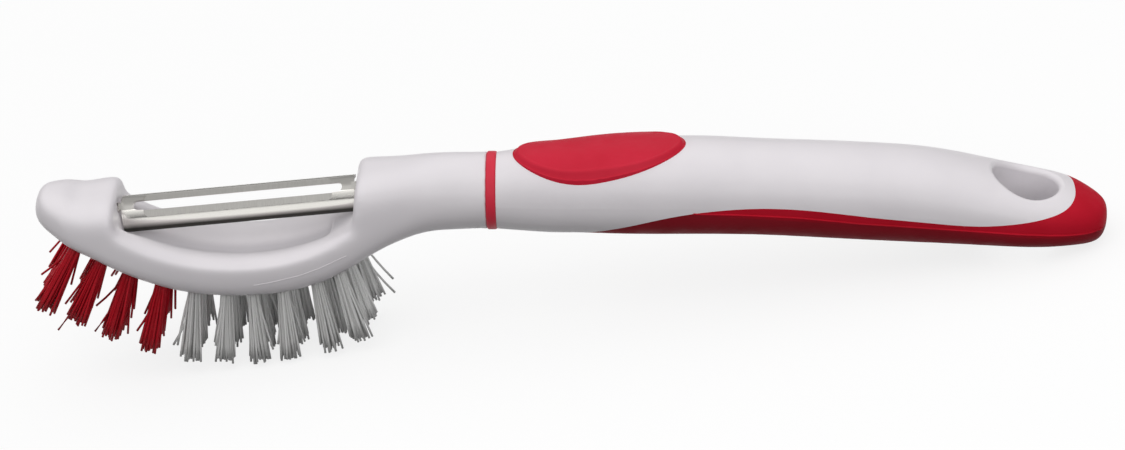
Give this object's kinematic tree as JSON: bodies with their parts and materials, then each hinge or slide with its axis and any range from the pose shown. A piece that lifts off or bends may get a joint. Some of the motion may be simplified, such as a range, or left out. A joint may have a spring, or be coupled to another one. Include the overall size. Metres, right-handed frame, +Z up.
{
  "type": "vegetable brush",
  "caption": "Vegetable brush with red and grey bristle tufts under a bowed white head, a swivelling slotted peeler blade over it, and a soft-backed handle with a hanging hole.",
  "frame": {"origin": "on the surface that the brush lies on, below the middle of its box", "axes": "+X along the brush from the nose to the tail, +Y to its back as seen in the picture, +Z up, with the brush lying on its tufts and its tail"},
  "size_m": [0.2576, 0.0266, 0.0507],
  "materials": {
    "white_plastic": "satin moulded",
    "red_rubber": "soft satin",
    "red_bristle": "drawn filament",
    "grey_bristle": "drawn filament",
    "blade_steel": "polished, with ground edges",
    "steel_wire": "flat wire"
  },
  "bodies": {
    "brush": {"brush_head": "white_plastic", "collar_ring": "red_rubber", "handle_core": "white_plastic", "thumb_pad": "red_rubber", "back_grip": "red_rubber", "tuft_anchors": "steel_wire", "tuft_red_1_front": "red_bristle", "tuft_red_1_middle": "red_bristle", "tuft_red_1_back": "red_bristle", "tuft_red_2_front": "red_bristle", "tuft_red_2_middle": "red_bristle", "tuft_red_2_back": "red_bristle", "tuft_red_3_front": "red_bristle", "tuft_red_3_middle": "red_bristle", "tuft_red_3_back": "red_bristle", "tuft_red_4_front": "red_bristle", "tuft_red_4_middle": "red_bristle", "tuft_red_4_back": "red_bristle", "tuft_grey_1_front": "grey_bristle", "tuft_grey_1_middle": "grey_bristle", "tuft_grey_1_back": "grey_bristle", "tuft_grey_2_front": "grey_bristle", "tuft_grey_2_middle": "grey_bristle", "tuft_grey_2_back": "grey_bristle", "tuft_grey_3_front": "grey_bristle", "tuft_grey_3_middle": "grey_bristle", "tuft_grey_3_back": "grey_bristle", "tuft_grey_4_front": "grey_bristle", "tuft_grey_4_middle": "grey_bristle", "tuft_grey_4_back": "grey_bristle", "tuft_grey_5_front": "grey_bristle", "tuft_grey_5_middle": "grey_bristle", "tuft_grey_5_back": "grey_bristle", "tuft_grey_6_front": "grey_bristle", "tuft_grey_6_middle": "grey_bristle", "tuft_grey_6_back": "grey_bristle"},
    "blade": {"peeler_blade": "blade_steel"}
  },
  "joints": [
    {"name": "blade_swivel", "type": "hinge", "parent": "brush", "child": "blade", "pos_m": [-0.07611, -0.00001, 0.04147], "axis": [-0.9987, 0, 0.0511], "range_deg": [0, 74]}
  ]
}
